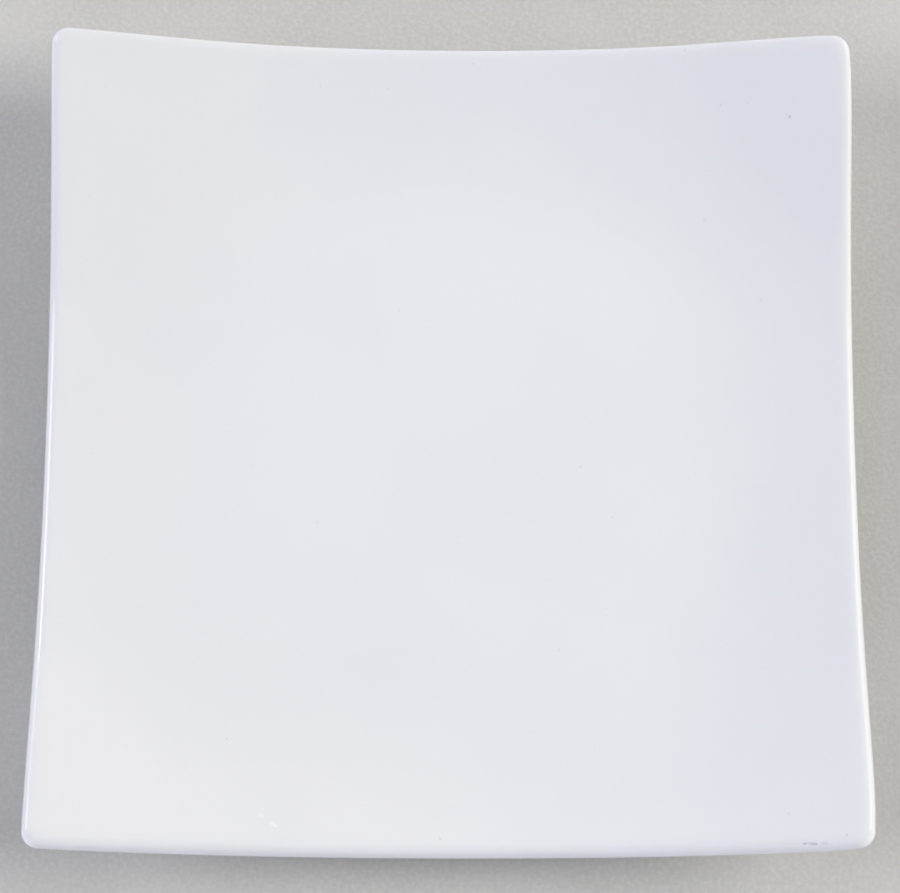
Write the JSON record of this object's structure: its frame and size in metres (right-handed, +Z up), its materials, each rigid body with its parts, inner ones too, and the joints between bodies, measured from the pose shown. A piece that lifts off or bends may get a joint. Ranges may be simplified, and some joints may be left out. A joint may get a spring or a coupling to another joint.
{
  "type": "square side plate",
  "caption": "Square side plate in white glazed porcelain: a flat round well sweeps up to a rounded rim that dips along each side and lifts at the corners, on a low foot ring.",
  "frame": {"origin": "centre of the foot ring, on the plane of its standing face", "axes": "+Z up out of the eating face, +X and +Y square to the sides of the plate"},
  "size_m": [0.1522, 0.1554, 0.0237],
  "materials": {
    "bare_porcelain": "matt, fired and unglazed",
    "white_face_glaze": "high gloss, clear over white",
    "white_base_glaze": "gloss, clear over white"
  },
  "bodies": {
    "root": {"porcelain_body": "bare_porcelain", "face_glaze": "white_face_glaze", "base_glaze": "white_base_glaze"}
  },
  "joints": []
}
